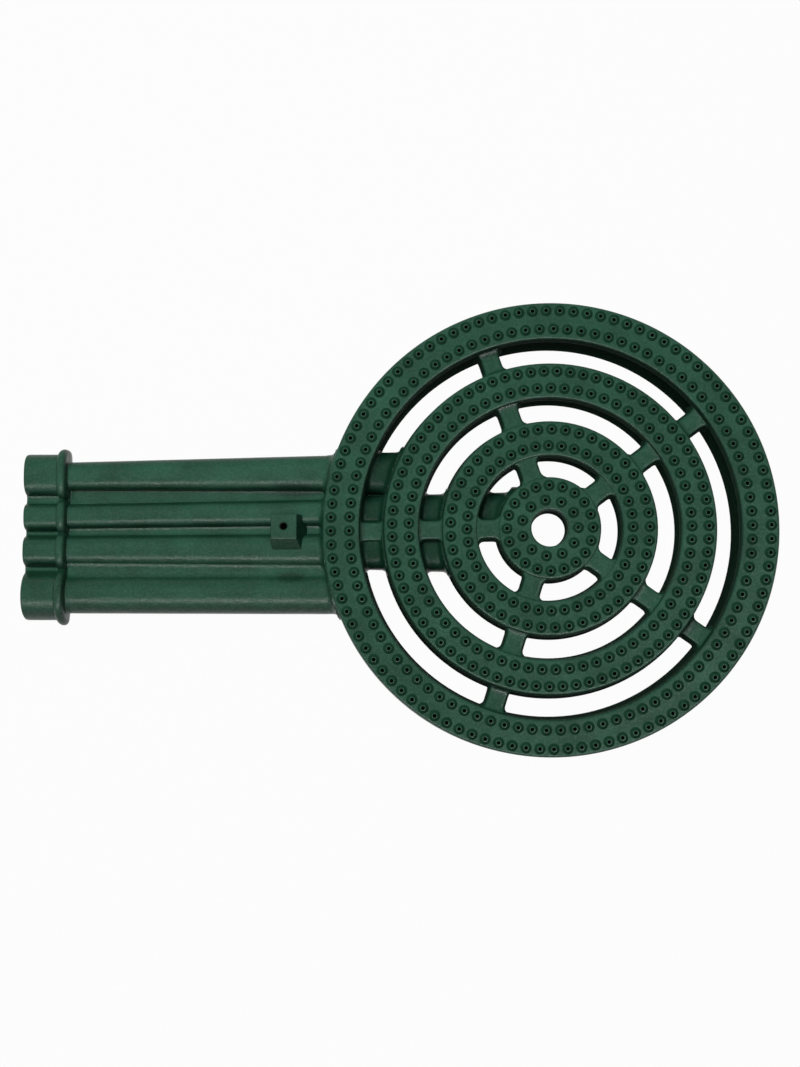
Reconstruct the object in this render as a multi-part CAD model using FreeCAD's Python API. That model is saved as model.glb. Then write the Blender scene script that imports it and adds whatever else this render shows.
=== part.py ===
import FreeCAD, Part
import math
import os
from collections import namedtuple

# Cast iron gas burner: four ported rings on one lower casting with four mixing tubes.
# Millimetres. The origin is on the axis of the rings, in the plane of their ported tops.
# +Z is up, and the mixing tubes run out along -X to the lobed collar.

Vector = FreeCAD.Vector
centre = Vector(0, 0, 0)
up = Vector(0, 0, 1)
along_tubes = Vector(1, 0, 0)
one_mm = 1.0

# Rings: radii at the ported top, and how far the cast walls spread down to the foot
ring_top_z = 0.0
port_ring_height = 11.0
cast_wall = 4.0
port_plate = 4.5
outer_spread = 2.8
inner_spread = 1.1
top_chamfer = 1.8
foot_chamfer = 1.0
seal_thickness = 1.0

Ring = namedtuple("Ring", "name outer_r inner_r inner_spread height outer_ports inner_ports screws turn_deg")
outer_ring = Ring("outer", outer_r=149.0, inner_r=125.2, inner_spread=inner_spread, height=44.0,
                  outer_ports=100, inner_ports=90, screws=4, turn_deg=45.0)
second_ring = Ring("second", outer_r=109.3, inner_r=86.0, inner_spread=inner_spread, height=33.5,
                   outer_ports=75, inner_ports=65, screws=3, turn_deg=0.0)
third_ring = Ring("third", outer_r=71.0, inner_r=48.0, inner_spread=inner_spread, height=29.0,
                  outer_ports=45, inner_ports=40, screws=3, turn_deg=0.0)
centre_ring = Ring("centre", outer_r=34.0, inner_r=12.0, inner_spread=0.0, height=26.5,
                   outer_ports=20, inner_ports=11, screws=3, turn_deg=0.0)
rings = [outer_ring, second_ring, third_ring, centre_ring]
rim_z = ring_top_z - port_ring_height
stand_z = ring_top_z - outer_ring.height

# Flame ports: two rows on each ring, set in from its edges
port_size = 2.0
port_sides = 4
outer_row_inset = 5.4
inner_row_inset = 6.5
port_turn_deg = 0.8

# Spokes in each of the three gaps, from the outermost gap inwards
spoke_count = 5
spoke_width = 12.5
spoke_fillet = 4.5
spoke_depth = 17.0
spoke_clearance = 0.4
spoke_drops = [11.0, 5.0, 1.0]
spoke_turn_deg = 180.8

# Mixing tubes, each feeding one ring, with the webs that join them
tube_axis_z = -25.5
tube_wall = 3.0
tube_end_wall = 3.5
web_height = 8.0

Tube = namedtuple("Tube", "ring y lobe_r mouth_r head_r end_r")
tubes = [
    Tube(second_ring, y=37.1, lobe_r=14.9, mouth_r=9.6, head_r=13.2, end_r=14.2),
    Tube(centre_ring, y=11.4, lobe_r=14.6, mouth_r=10.4, head_r=10.8, end_r=13.0),
    Tube(third_ring, y=-13.5, lobe_r=15.4, mouth_r=11.2, head_r=12.5, end_r=14.0),
    Tube(outer_ring, y=-41.9, lobe_r=18.8, mouth_r=14.4, head_r=14.4, end_r=14.4),
]

# Lobed collar at the mouths, with the bead behind it
mouth_x = -352.0
collar_length = 21.2
collar_web_height = 20.0
web_setback = 0.8
bead_length = 7.0
bead_rise = 3.4
bead_slope = 2.2
mouth_depth = 31.0
mouth_step = 0.5
mouth_chamfer = 1.2

# Pilot boss on the tubes, with its tapped hole
boss_x = -175.9
boss_y = 1.7
boss_top_z = -6.0
boss_length = 17.4
boss_width = 16.4
boss_end_flare = 8.0
boss_side_flare = 18.0
tapped_r = 2.5
tapped_depth = 14.0

# Fixing screws, driven up from recesses in the foot of each ring
screw_r = 2.5
screw_clearance = 0.3
screw_head_flats = 8.0
screw_head_height = 3.5
screw_end_gap = 1.0
thread_cover = 3.0
pillar_r = 7.5
cap_boss_r = 4.3
recess_r = 5.6
recess_depth = 6.5
washer_r = 5.0
washer_thickness = 1.0

# One overrun serves all cuts
overrun = 2.0


def outer_at(ring, z):
    return ring.outer_r + outer_spread * (ring_top_z - z) / ring.height


def inner_at(ring, z):
    return ring.inner_r - ring.inner_spread * (ring_top_z - z) / ring.height


def mid_r(ring):
    return (ring.outer_r + ring.inner_r) / 2


def foot_z(ring):
    return ring_top_z - ring.height


def turned(outline):
    # a closed outline of radii and heights, turned about the rings' axis
    points = [Vector(radius, 0, z) for radius, z in outline]
    return Part.Face(Part.makePolygon(points + [points[0]])).revolve(centre, up, 360)


def upright(radius, low_z, high_z, place):
    return Part.makeCylinder(radius, high_z - low_z, Vector(place[0], place[1], low_z), up)


def tube_run(radius_a, radius_b, x_a, x_b, y):
    # a straight or tapered round run along the tubes
    start = Vector(x_a, y, tube_axis_z)
    if abs(radius_a - radius_b) < one_mm / 1000:
        return Part.makeCylinder(radius_a, x_b - x_a, start, along_tubes)
    return Part.makeCone(radius_a, radius_b, x_b - x_a, start, along_tubes)


def block(x_span, y_span, z_span):
    corner = Vector(x_span[0], y_span[0], z_span[0])
    return Part.makeBox(x_span[1] - x_span[0], y_span[1] - y_span[0], z_span[1] - z_span[0], corner)


def screw_places(ring):
    turns = [math.radians(ring.turn_deg + 360 * index / ring.screws) for index in range(ring.screws)]
    return [(mid_r(ring) * math.cos(turn), mid_r(ring) * math.sin(turn)) for turn in turns]


# Lower casting: troughs

def trough_outside(ring):
    foot = foot_z(ring)
    return turned([
        (inner_at(ring, foot) + foot_chamfer, foot),
        (outer_at(ring, foot) - foot_chamfer, foot),
        (outer_at(ring, foot + foot_chamfer), foot + foot_chamfer),
        (outer_at(ring, rim_z), rim_z),
        (inner_at(ring, rim_z), rim_z),
        (inner_at(ring, foot + foot_chamfer), foot + foot_chamfer),
    ])


def trough_channel(ring):
    # the gas space in the trough, open at the rim
    floor = foot_z(ring) + cast_wall
    above = rim_z + overrun
    return turned([
        (inner_at(ring, floor) + cast_wall, floor),
        (outer_at(ring, floor) - cast_wall, floor),
        (outer_at(ring, above) - cast_wall, above),
        (inner_at(ring, above) + cast_wall, above),
    ])


# Lower casting: spokes

def spoke_outline(low_r, high_r):
    # a bar along +X that flares into the ring at each end with a quarter round
    half = spoke_width / 2
    wide = half + spoke_fillet
    diagonal = spoke_fillet * (1 - math.cos(math.pi / 4))
    edges = []
    for side in (1, -1):
        corners = [Vector(low_r, side * wide, 0), Vector(low_r + spoke_fillet, side * half, 0),
                   Vector(high_r - spoke_fillet, side * half, 0), Vector(high_r, side * wide, 0)]
        near = Vector(low_r + diagonal, side * (half + diagonal), 0)
        far = Vector(high_r - diagonal, side * (half + diagonal), 0)
        edges.append(Part.Arc(corners[0], near, corners[1]).toShape())
        edges.append(Part.makeLine(corners[1], corners[2]))
        edges.append(Part.Arc(corners[2], far, corners[3]).toShape())
    edges.append(Part.makeLine(Vector(high_r, wide, 0), Vector(high_r, -wide, 0)))
    edges.append(Part.makeLine(Vector(low_r, -wide, 0), Vector(low_r, wide, 0)))
    return Part.Face(Part.Wire(Part.__sortEdges__(edges)))


def spokes(around, within, drop):
    # five spokes between two rings; above the rim they keep clear of the port rings
    top = ring_top_z - drop
    bottom = top - spoke_depth
    bar = spoke_outline(within.outer_r - cast_wall / 2, around.inner_r + cast_wall / 2)
    bar.translate(up * bottom)
    whole = bar.extrude(up * spoke_depth)
    if top > rim_z:
        high = (rim_z, top + overrun)
        near = upright(outer_at(within, rim_z) + spoke_clearance, high[0], high[1], centre)
        far = upright(around.outer_r, high[0], high[1], centre).cut(
            upright(inner_at(around, rim_z) - spoke_clearance, high[0], high[1], centre))
        whole = whole.cut([near, far])
    made = []
    for index in range(spoke_count):
        spoke = whole.copy()
        spoke.rotate(centre, up, spoke_turn_deg + 360 * index / spoke_count)
        made.append(spoke)
    return made


# Lower casting: tubes, webs, collar and boss

def tube_outside(tube):
    head_x = -outer_ring.outer_r
    end_x = -mid_r(tube.ring)
    runs = tube_run(tube.mouth_r, tube.head_r, mouth_x, head_x, tube.y).fuse(
        tube_run(tube.head_r, tube.end_r, head_x, end_x + tube_end_wall, tube.y))
    return runs.cut(trough_channel(tube.ring))


def tube_bore(tube):
    # a machined mouth, then the cast bore as far as the middle of the ring that it feeds
    head_x = -outer_ring.outer_r
    end_x = -mid_r(tube.ring)
    mouth_end_x = mouth_x + mouth_depth
    mouth_bore = tube.mouth_r - tube_wall + mouth_step
    wide = mouth_bore + mouth_chamfer
    return [
        tube_run(wide, mouth_bore, mouth_x, mouth_x + mouth_chamfer, tube.y),
        tube_run(mouth_bore, mouth_bore, mouth_x, mouth_end_x, tube.y),
        tube_run(tube.mouth_r - tube_wall, tube.head_r - tube_wall, mouth_end_x, head_x, tube.y),
        tube_run(tube.head_r - tube_wall, tube.end_r - tube_wall, head_x, end_x, tube.y),
    ]


def webs():
    # flat webs between neighbouring tubes, up to the larger of the two rings that they feed
    made = []
    for left, right in zip(tubes, tubes[1:]):
        reach = max(left.ring.outer_r, right.ring.outer_r) - cast_wall / 2
        made.append(block((mouth_x + web_setback, -reach), (right.y + tube_wall, left.y - tube_wall),
                          (tube_axis_z - web_height / 2, tube_axis_z + web_height / 2)))
    return made


def collar():
    # one lobe for each tube, thicker webs between them, and a bead behind
    bead_x = mouth_x + collar_length
    bead_end_x = bead_x + bead_length
    made = []
    for tube in tubes:
        bead_r = tube.lobe_r + bead_rise
        slope_r = bead_r - bead_slope
        made.append(tube_run(tube.lobe_r, tube.lobe_r, mouth_x, bead_x, tube.y))
        made.append(tube_run(slope_r, bead_r, bead_x, bead_x + bead_slope, tube.y))
        made.append(tube_run(bead_r, bead_r, bead_x + bead_slope, bead_end_x - bead_slope, tube.y))
        made.append(tube_run(bead_r, slope_r, bead_end_x - bead_slope, bead_end_x, tube.y))
    for left, right in zip(tubes, tubes[1:]):
        made.append(block((mouth_x + web_setback, bead_x + bead_length / 2),
                          (right.y + tube_wall, left.y - tube_wall),
                          (tube_axis_z - collar_web_height / 2, tube_axis_z + collar_web_height / 2)))
    return made


def pilot_boss():
    # square on top, flared at its foot towards the rings and towards the wide side
    low_x = boss_x - boss_length / 2
    high_x = boss_x + boss_length / 2
    low_y = boss_y - boss_width / 2
    high_y = boss_y + boss_width / 2
    top = [(low_x, low_y), (high_x, low_y), (high_x, high_y), (low_x, high_y)]
    foot = [(low_x, low_y - boss_side_flare), (high_x + boss_end_flare, low_y - boss_side_flare),
            (high_x + boss_end_flare, high_y), (low_x, high_y)]
    frames = []
    for corners, z in ((foot, tube_axis_z), (top, boss_top_z)):
        points = [Vector(x, y, z) for x, y in corners]
        frames.append(Part.makePolygon(points + [points[0]]))
    return Part.makeLoft(frames, True, True)


def screw_openings(ring):
    # clearance holes, with recesses that take the heads
    made = []
    foot = foot_z(ring)
    for place in screw_places(ring):
        made.append(upright(screw_r + screw_clearance, foot, rim_z + overrun, place))
        made.append(upright(recess_r, foot - overrun, foot + recess_depth, place))
    return made


def head():
    # four troughs, the spokes between them and the pillars for the screws
    troughs = [trough_outside(ring).cut(trough_channel(ring)) for ring in rings]
    bars = []
    for around, within, drop in zip(rings, rings[1:], spoke_drops):
        keep_open = [trough_channel(around), trough_channel(within)]
        bars += [bar.cut(keep_open) for bar in spokes(around, within, drop)]
    pillars = [upright(pillar_r, foot_z(ring), rim_z, place)
               for ring in rings for place in screw_places(ring)]
    return troughs[0].multiFuse(troughs[1:] + bars + pillars)


def tube_bundle():
    runs = [tube_outside(tube) for tube in tubes]
    return runs[0].multiFuse(runs[1:] + webs() + collar() + [pilot_boss()])


def burner_body():
    solid = head().fuse(tube_bundle())
    hollows = [run for tube in tubes for run in tube_bore(tube)]
    hollows += [opening for ring in rings for opening in screw_openings(ring)]
    hollows.append(upright(tapped_r, boss_top_z - tapped_depth, boss_top_z + overrun, (boss_x, boss_y)))
    hollows.append(block((mouth_x, outer_ring.outer_r), (-outer_ring.outer_r, outer_ring.outer_r),
                         (stand_z - outer_ring.height, stand_z)))
    return solid.cut(hollows).removeSplitter()


# Port rings, which close the troughs

def ring_ports(ring):
    # two rows of straight ports through the plate, each a prism of few sides
    low = ring_top_z - port_plate - overrun
    reach = port_size / 2 / math.cos(math.pi / port_sides)
    made = []
    for radius, count in ((ring.outer_r - outer_row_inset, ring.outer_ports),
                          (ring.inner_r + inner_row_inset, ring.inner_ports)):
        corners = []
        for side in range(port_sides):
            turn = 2 * math.pi * (side + 0.5) / port_sides
            corners.append(Vector(radius + reach * math.cos(turn), reach * math.sin(turn), low))
        prism = Part.Face(Part.makePolygon(corners + [corners[0]])).extrude(
            up * (port_plate + 2 * overrun))
        for index in range(count):
            port = prism.copy()
            port.rotate(centre, up, port_turn_deg + 360 * index / count)
            made.append(port)
    return made


def port_ring(ring):
    low = rim_z + seal_thickness
    ceiling = ring_top_z - port_plate
    edge = ring_top_z - top_chamfer
    shell = turned([
        (inner_at(ring, low), low),
        (inner_at(ring, low) + cast_wall, low),
        (inner_at(ring, ceiling) + cast_wall, ceiling),
        (outer_at(ring, ceiling) - cast_wall, ceiling),
        (outer_at(ring, low) - cast_wall, low),
        (outer_at(ring, low), low),
        (outer_at(ring, edge), edge),
        (ring.outer_r - top_chamfer, ring_top_z),
        (ring.inner_r + top_chamfer, ring_top_z),
        (inner_at(ring, edge), edge),
    ])
    bosses = []
    holes = []
    for place in screw_places(ring):
        bosses.append(upright(cap_boss_r, rim_z, ring_top_z - port_plate / 2, place))
        holes.append(upright(screw_r, rim_z - overrun, ring_top_z - thread_cover, place))
    return shell.multiFuse(bosses).cut(holes + ring_ports(ring))


# Seals on the two walls of each trough

def seal(inner_low, inner_high, outer_low, outer_high):
    low = rim_z
    high = rim_z + seal_thickness
    return turned([(inner_low, low), (outer_low, low), (outer_high, high), (inner_high, high)])


def outer_seal(ring):
    low = outer_at(ring, rim_z)
    high = outer_at(ring, rim_z + seal_thickness)
    return seal(low - cast_wall, high - cast_wall, low, high)


def inner_seal(ring):
    low = inner_at(ring, rim_z)
    high = inner_at(ring, rim_z + seal_thickness)
    return seal(low, high, low + cast_wall, high + cast_wall)


# Fixings

def washer_seat_z(ring):
    return foot_z(ring) + recess_depth - washer_thickness


def screws(ring):
    seat = washer_seat_z(ring)
    tip = ring_top_z - thread_cover - screw_end_gap
    corner_r = screw_head_flats / 2 / math.cos(math.pi / 6)
    made = []
    for x, y in screw_places(ring):
        corners = [Vector(x + corner_r * math.cos(math.pi * side / 3),
                          y + corner_r * math.sin(math.pi * side / 3), seat) for side in range(6)]
        head = Part.Face(Part.makePolygon(corners + [corners[0]])).extrude(-up * screw_head_height)
        made.append(head.fuse(upright(screw_r, seat, tip, (x, y))))
    return Part.makeCompound(made)


def washers(ring):
    seat = washer_seat_z(ring)
    made = []
    for place in screw_places(ring):
        disc = upright(washer_r, seat, seat + washer_thickness, place)
        made.append(disc.cut(upright(screw_r + screw_clearance, seat - overrun,
                                     seat + washer_thickness + overrun, place)))
    return Part.makeCompound(made)


def build():
    made = {"burner_body": burner_body()}
    for ring in rings:
        made[ring.name + "_port_ring"] = port_ring(ring)
        made[ring.name + "_ring_outer_seal"] = outer_seal(ring)
        made[ring.name + "_ring_inner_seal"] = inner_seal(ring)
        made[ring.name + "_ring_screws"] = screws(ring)
        made[ring.name + "_ring_washers"] = washers(ring)
    return made


nodes = build()
os.makedirs("parts", exist_ok=True)
for name, shape in nodes.items():
    shape.exportStep("parts/" + name + ".step")
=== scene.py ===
import math
import bmesh
import bpy
from mathutils import Matrix, Vector


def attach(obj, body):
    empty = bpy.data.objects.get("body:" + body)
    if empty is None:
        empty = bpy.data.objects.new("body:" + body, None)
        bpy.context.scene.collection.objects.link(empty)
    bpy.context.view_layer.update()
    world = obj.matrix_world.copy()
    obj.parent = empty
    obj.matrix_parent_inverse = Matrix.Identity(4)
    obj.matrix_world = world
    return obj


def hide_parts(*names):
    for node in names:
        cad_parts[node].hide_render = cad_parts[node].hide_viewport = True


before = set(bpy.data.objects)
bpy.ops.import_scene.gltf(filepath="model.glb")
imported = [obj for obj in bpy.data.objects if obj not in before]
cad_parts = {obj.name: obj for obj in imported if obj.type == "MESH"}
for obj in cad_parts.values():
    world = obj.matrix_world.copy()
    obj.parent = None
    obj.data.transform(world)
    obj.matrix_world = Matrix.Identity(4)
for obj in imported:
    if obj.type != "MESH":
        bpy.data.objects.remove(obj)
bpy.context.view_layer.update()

# Cast iron gas burner, dressed for a studio picture.
# Shapes are worked out in millimetres and brought to metres when a piece is finished.
mm = 0.001
tiny = 0.001   # mm, for telling one level or radius from another
weld = 0.01    # mm, within which vertices belong together
print("frame loaded with", len(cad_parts), "nodes")

# Sizes shared by both halves of every ring, as cast; the walls spread from top to foot,
# and the first screw of a ring stands at its turn in degrees
ringSizes = {
    "wall": 4.0,
    "rimZ": -11.0,         # where the lower casting ends and the seal lies
    "sealThickness": 1.0,
    "besideRound": 0.1,    # left flat beside a rounded edge
    "rings": [
        {"name": "outer", "outerR": 149.3, "innerR": 125.2, "outerSpread": 3.1, "innerSpread": 0.0,
         "height": 44.0, "outerPorts": 100, "innerPorts": 90, "screws": 4, "turn": 45.0},
        {"name": "second", "outerR": 108.9, "innerR": 86.0, "outerSpread": 3.9, "innerSpread": 0.4,
         "height": 33.5, "outerPorts": 75, "innerPorts": 65, "screws": 3, "turn": 0.0},
        {"name": "third", "outerR": 70.5, "innerR": 47.8, "outerSpread": 2.9, "innerSpread": 0.9,
         "height": 29.0, "outerPorts": 45, "innerPorts": 40, "screws": 3, "turn": 0.0},
        {"name": "centre", "outerR": 33.5, "innerR": 12.0, "outerSpread": 2.3, "innerSpread": 0.7,
         "height": 26.5, "outerPorts": 20, "innerPorts": 11, "screws": 3, "turn": 0.0},
    ],
}
rings = ringSizes["rings"]


def outerAt(ring, z):
    return ring["outerR"] - ring["outerSpread"] * z / ring["height"]


def innerAt(ring, z):
    return ring["innerR"] + ring["innerSpread"] * z / ring["height"]


def midR(ring):
    return (ring["outerR"] + ring["innerR"]) / 2


def screwPlaces(ring):
    turns = [math.radians(ring["turn"] + 360 * k / ring["screws"]) for k in range(ring["screws"])]
    return [Vector((midR(ring) * math.cos(a), midR(ring) * math.sin(a), 0)) for a in turns]


# Small tools on bmesh

def chain(bm, points, closed=False):
    # a few vertices joined in a line
    verts = [bm.verts.new(p) for p in points]
    pairs = list(zip(verts, verts[1:])) + ([(verts[-1], verts[0])] if closed else [])
    return verts, [bm.edges.new(pair) for pair in pairs]


def turnedChain(bm, profile, startAngle, angle, steps, closed=False):
    # radii and heights turned round the rings' axis
    points = [(r * math.cos(startAngle), r * math.sin(startAngle), z) for r, z in profile]
    verts, edges = chain(bm, points, closed)
    full = abs(angle - 2 * math.pi) < tiny
    bmesh.ops.spin(bm, geom=verts + edges, cent=(0, 0, 0), axis=(0, 0, 1), angle=angle,
                   steps=steps, use_merge=full)


def mergeDoubles(bm):
    bmesh.ops.remove_doubles(bm, verts=bm.verts, dist=weld)


def copyRound(bm, count):
    # what is in bm, repeated to a full turn
    bmesh.ops.spin(bm, geom=bm.verts[:] + bm.edges[:] + bm.faces[:], cent=(0, 0, 0), axis=(0, 0, 1),
                   angle=2 * math.pi * (count - 1) / count, steps=count - 1, use_duplicate=True)


def turnBy(bm, degrees):
    bmesh.ops.rotate(bm, verts=bm.verts, cent=(0, 0, 0),
                     matrix=Matrix.Rotation(math.radians(degrees), 3, "Z"))


def vertsOf(geom):
    return [item for item in geom if isinstance(item, bmesh.types.BMVert)]


def openEdges(bm):
    return [e for e in bm.edges if len(e.link_faces) == 1]


def faceTowards(face, side):
    # side is 1 for up and -1 for down
    if face.normal.z * side < 0:
        face.normal_flip()


def isWall(face):
    # upright, apart from its draft
    return abs(face.normal.z) < 0.3


def facesAt(bm, z, radius=None, reach=2.5):
    # flat faces at a level, or only those whose middles are near a radius
    def near(f):
        return radius is None or abs(math.hypot(*f.calc_center_median().xy) - radius) < reach
    return [f for f in bm.faces if all(abs(v.co.z - z) < tiny for v in f.verts) and near(f)]


def circleIn(bm, faces, centre, radius, sides):
    # opens the flat faces and joins their outline to a round face, which it returns
    if len(faces) > 1:
        faces = bmesh.ops.dissolve_faces(bm, faces=faces)["region"]
    outline = list(faces[0].edges)
    bmesh.ops.delete(bm, geom=faces, context="FACES_ONLY")
    made = bmesh.ops.create_circle(bm, cap_ends=True, segments=sides, radius=radius,
                                   matrix=Matrix.Translation(centre))
    cap = made["verts"][0].link_faces[0]
    bmesh.ops.triangle_fill(bm, edges=outline + list(cap.edges), use_beauty=True)
    return cap


def roundEdges(bm, edges, offset, segments):
    bmesh.ops.bevel(bm, geom=edges, offset=offset, offset_type="OFFSET", segments=segments, profile=0.5,
                    affect="EDGES", clamp_overlap=False, material=-1)


def edgesOnCircle(bm, radius, z):
    def on(v):
        return abs(v.co.z - z) < tiny and abs(math.hypot(v.co.x, v.co.y) - radius) < weld
    return [e for e in bm.edges if on(e.verts[0]) and on(e.verts[1])]


def addTo(bm, part):
    mesh = bpy.data.meshes.new("part")
    part.to_mesh(mesh)
    part.free()
    bm.from_mesh(mesh)
    bpy.data.meshes.remove(mesh)


def dress(faces, finish, material):
    # finish is the piece's list of materials
    for f in faces:
        f.material_index = finish.index(material)


def finishPiece(bm, name, node, finish, sharpAngle=38):
    bmesh.ops.recalc_face_normals(bm, faces=bm.faces)
    bmesh.ops.scale(bm, vec=(mm, mm, mm), verts=bm.verts)
    mesh = bpy.data.meshes.new(name)
    bm.to_mesh(mesh)
    bm.free()
    mesh.shade_smooth()
    mesh.set_sharp_from_angle(angle=math.radians(sharpAngle))
    for material in finish:
        mesh.materials.append(material)
    piece = bpy.data.objects.new(name, mesh)
    bpy.context.scene.collection.objects.link(piece)
    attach(piece, "root")
    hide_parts(node)
    even = piece.modifiers.new("evenShading", "WEIGHTED_NORMAL")
    even.keep_sharp = True
    even.weight = 70   # above 50, large faces lead the shading
    return piece


# Materials

def linear(hexColour):
    def channel(c):
        return c / 12.92 if c <= 0.04045 else ((c + 0.055) / 1.055) ** 2.4
    return tuple(channel(int(hexColour[k:k + 2], 16) / 255) for k in (1, 3, 5)) + (1.0,)


def addNode(tree, kind, settings=None, links=None, stops=None):
    # settings go to sockets or attributes, links come from other nodes' sockets, stops colour a ramp
    node = tree.nodes.new(kind)
    for key, value in (settings or {}).items():
        if isinstance(key, int) or key in node.inputs:
            node.inputs[key].default_value = value
        else:
            setattr(node, key, value)
    for key, source in (links or {}).items():
        tree.links.new(source, node.inputs[key])
    if stops:
        elements = node.color_ramp.elements
        for position, _ in stops[1:-1]:
            elements.new(position)
        for element, (position, hexColour) in zip(elements, stops):
            element.position = position
            element.color = linear(hexColour)
    return node


def newMaterial(name):
    material = bpy.data.materials.new(name)
    material.use_nodes = True
    tree = material.node_tree
    tree.nodes.clear()
    shader = addNode(tree, "ShaderNodeBsdfPrincipled")
    addNode(tree, "ShaderNodeOutputMaterial", {"location": (300, 0)}, {"Surface": shader.outputs[0]})
    return material, tree, shader


paintLook = {
    "toneStops": [(0.30, "#1A4431"),      # where the coat runs thin
                  (0.50, "#204D3A"),
                  (0.72, "#295844")],     # where it pooled and dried paler
    "shadeColour": "#0B2217",    # painted shade on steep sides and painted shadow in the pockets
    "steep": (0.93, 0.25, 0.6),   # painted shade grows between these upward shares of the normal; its most
    "pockets": [((-170.0, 27.0), (20.0, 6.5)), ((-172.0, -32.0), (13.0, 5.0))],   # painted shadow beside the ring: middle and reach, mm
    "pocketFade": (0.45, 1.0, 0.65),   # the painted shadow fades between these shares of the reach; its most
    # size in mm, detail and roughness: sand grain as softened by the coat, unevenness of the casting,
    # and drift of the coat's thickness
    "noises": {"grain": (1.5, 3.0, 0.55), "wave": (9.0, 2.0, 0.5), "tone": (26.0, 4.0, 0.6)},
    "relief": {"grain": (0.8, 0.16), "wave": (0.5, 0.5)},   # strength, and depth in mm
    "roughness": (0.29, 0.44),   # of the thin and of the thick coat
    "ior": 1.48,
    "proud": (0.46, 0.62),       # on the grain's noise, where a grain begins to shine and shines most
    "specular": (0.2, 0.36),     # between the grains, and on the few that stand proud
}


def paintedIron(name, baseShade, shine):
    # Alkyd enamel sprayed over a sand casting: a soft gloss that breaks up on the grain. Steep sides and the
    # pockets beside the ring are darkened as painted shade.
    material, tree, shader = newMaterial(name)
    coords = addNode(tree, "ShaderNodeTexCoord")
    noises = {}
    for part, (size, detail, roughness) in paintLook["noises"].items():
        noise = addNode(tree, "ShaderNodeTexNoise",
                        {"Scale": 1 / (size * mm), "Detail": detail, "Roughness": roughness},
                        {"Vector": coords.outputs["Object"]})
        noises[part] = noise.outputs["Fac"]
    colour = addNode(tree, "ShaderNodeValToRGB", {}, {"Fac": noises["tone"]}, paintLook["toneStops"])
    # painted shade: darker on steep sides
    slope = addNode(tree, "ShaderNodeSeparateXYZ", {}, {0: coords.outputs["Normal"]})
    start, end, most = paintLook["steep"]
    shadeShare = addNode(tree, "ShaderNodeMapRange",
                      {"From Min": start, "From Max": end, "To Min": baseShade, "To Max": most},
                      {"Value": slope.outputs["Z"]}).outputs[0]
    # and painted shadow in the pockets between tubes and ring
    start, end, most = paintLook["pocketFade"]
    for (x, y), (reachX, reachY) in paintLook["pockets"]:
        moved = addNode(tree, "ShaderNodeVectorMath", {"operation": "SUBTRACT", 1: (x * mm, y * mm, 0)},
                        {0: coords.outputs["Object"]})
        shrunk = addNode(tree, "ShaderNodeVectorMath",
                         {"operation": "MULTIPLY", 1: (1 / (reachX * mm), 1 / (reachY * mm), 0)},
                         {0: moved.outputs[0]})
        away = addNode(tree, "ShaderNodeVectorMath", {"operation": "LENGTH"}, {0: shrunk.outputs[0]})
        pocket = addNode(tree, "ShaderNodeMapRange",
                         {"From Min": start, "From Max": end, "To Min": most, "To Max": 0.0},
                         {"Value": away.outputs["Value"]})
        shadeShare = addNode(tree, "ShaderNodeMath", {"operation": "MAXIMUM"},
                          {0: shadeShare, 1: pocket.outputs[0]}).outputs[0]
    coat = addNode(tree, "ShaderNodeMix", {"data_type": "RGBA", 7: linear(paintLook["shadeColour"])},
                   {"Factor": shadeShare, 6: colour.outputs["Color"]})
    gloss = addNode(tree, "ShaderNodeMapRange",
                    {"From Min": 0.3, "From Max": 0.7,
                     "To Min": paintLook["roughness"][0], "To Max": paintLook["roughness"][1]},
                    {"Value": noises["tone"]})
    # only the proud grains shine, so a highlight breaks into specks
    glint = addNode(tree, "ShaderNodeMapRange",
                    {"From Min": paintLook["proud"][0], "From Max": paintLook["proud"][1],
                     "To Min": paintLook["specular"][0] * shine,
                     "To Max": paintLook["specular"][1] * shine},
                    {"Value": noises["grain"]})
    normal = {}
    for part, (strength, depth) in paintLook["relief"].items():
        bump = addNode(tree, "ShaderNodeBump", {"Strength": strength, "Distance": depth * mm},
                       {"Height": noises[part], **normal})
        normal = {"Normal": bump.outputs[0]}
    shader.inputs["IOR"].default_value = paintLook["ior"]
    for socket, source in [("Base Color", coat.outputs[2]), ("Roughness", gloss.outputs[0]),
                           ("Specular IOR Level", glint.outputs[0]), ("Normal", bump.outputs[0])]:
        tree.links.new(source, shader.inputs[socket])
    return material


# Dull surfaces: size in mm and detail of the mottling, roughness, and strength and depth in mm of relief

# Dry enamel overspray on rough iron: matt; the darker colours used with it are painted shade
overspray = {"size": 5.0, "detail": 5.0, "roughness": 0.95, "strength": 0.5, "depth": 0.3}
# Grey cast iron as the drill left it, dulled black by oil: no paint gets in
drilled = {"size": 0.7, "detail": 2.0, "roughness": 0.7, "strength": 0.3, "depth": 0.05}
# Pressed mineral fibre: matt, grey-black, faintly flecked by its fibres
pressedFibre = {"size": 0.6, "detail": 4.0, "roughness": 0.9, "strength": 0.4, "depth": 0.1}


def mottledSurface(name, look, dark, pale, shine):
    # a dull surface whose colour and relief follow one noise
    material, tree, shader = newMaterial(name)
    coords = addNode(tree, "ShaderNodeTexCoord").outputs["Object"]
    noise = addNode(tree, "ShaderNodeTexNoise",
                    {"Scale": 1 / (look["size"] * mm), "Detail": look["detail"]}, {"Vector": coords})
    colour = addNode(tree, "ShaderNodeValToRGB", {}, {"Fac": noise.outputs["Fac"]},
                     [(0.35, dark), (0.7, pale)])
    bump = addNode(tree, "ShaderNodeBump", {"Strength": look["strength"], "Distance": look["depth"] * mm},
                   {"Height": noise.outputs["Fac"]})
    tree.links.new(colour.outputs["Color"], shader.inputs["Base Color"])
    tree.links.new(bump.outputs[0], shader.inputs["Normal"])
    shader.inputs["Roughness"].default_value = look["roughness"]
    shader.inputs["Specular IOR Level"].default_value = shine
    return material


zincLook = {
    "stops": [(0.3, "#8C9096"), (0.7, "#B4B7B6")],
    "bloomMm": 2.5,              # size of the clouds in the plating
    "roughness": (0.28, 0.42),
}


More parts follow.
